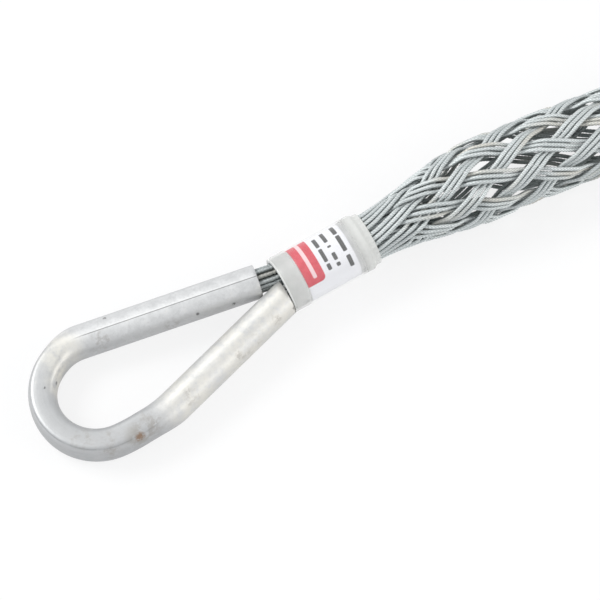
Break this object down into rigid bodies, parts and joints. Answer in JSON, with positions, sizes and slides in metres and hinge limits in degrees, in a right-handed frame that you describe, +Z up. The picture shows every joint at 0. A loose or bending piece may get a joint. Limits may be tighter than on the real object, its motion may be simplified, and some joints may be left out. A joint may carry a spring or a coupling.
{
  "type": "cable pulling grip",
  "caption": "Woven wire mesh sleeve that closes on a cable end, gathered in a ferrule under a clear sleeve, with a bent steel tube as its pulling eye.",
  "frame": {"origin": "middle of the footprint, on the floor the grip lies on", "axes": "+X along the mesh, from the eye towards the open tail; +Z up; the eye lies flat, opening along Z"},
  "size_m": [0.6308, 0.0822, 0.0388],
  "materials": {
    "galvanised_rope": "galvanised wire, fine twist",
    "galvanised_tube": "galvanised, lightly scuffed",
    "ferrule_steel": "pressed, satin",
    "label_film": "printed film",
    "clear_film": "clear shrink film"
  },
  "bodies": {
    "root": {"eye_tube": "galvanised_tube", "eye_ropes": "galvanised_rope", "ferrule": "ferrule_steel", "label": "label_film", "clear_sleeve": "clear_film", "mesh_strand_1": "galvanised_rope", "mesh_strand_2": "galvanised_rope", "mesh_strand_3": "galvanised_rope", "mesh_strand_4": "galvanised_rope", "mesh_strand_5": "galvanised_rope", "mesh_strand_6": "galvanised_rope", "mesh_strand_7": "galvanised_rope", "mesh_strand_8": "galvanised_rope"}
  },
  "joints": []
}
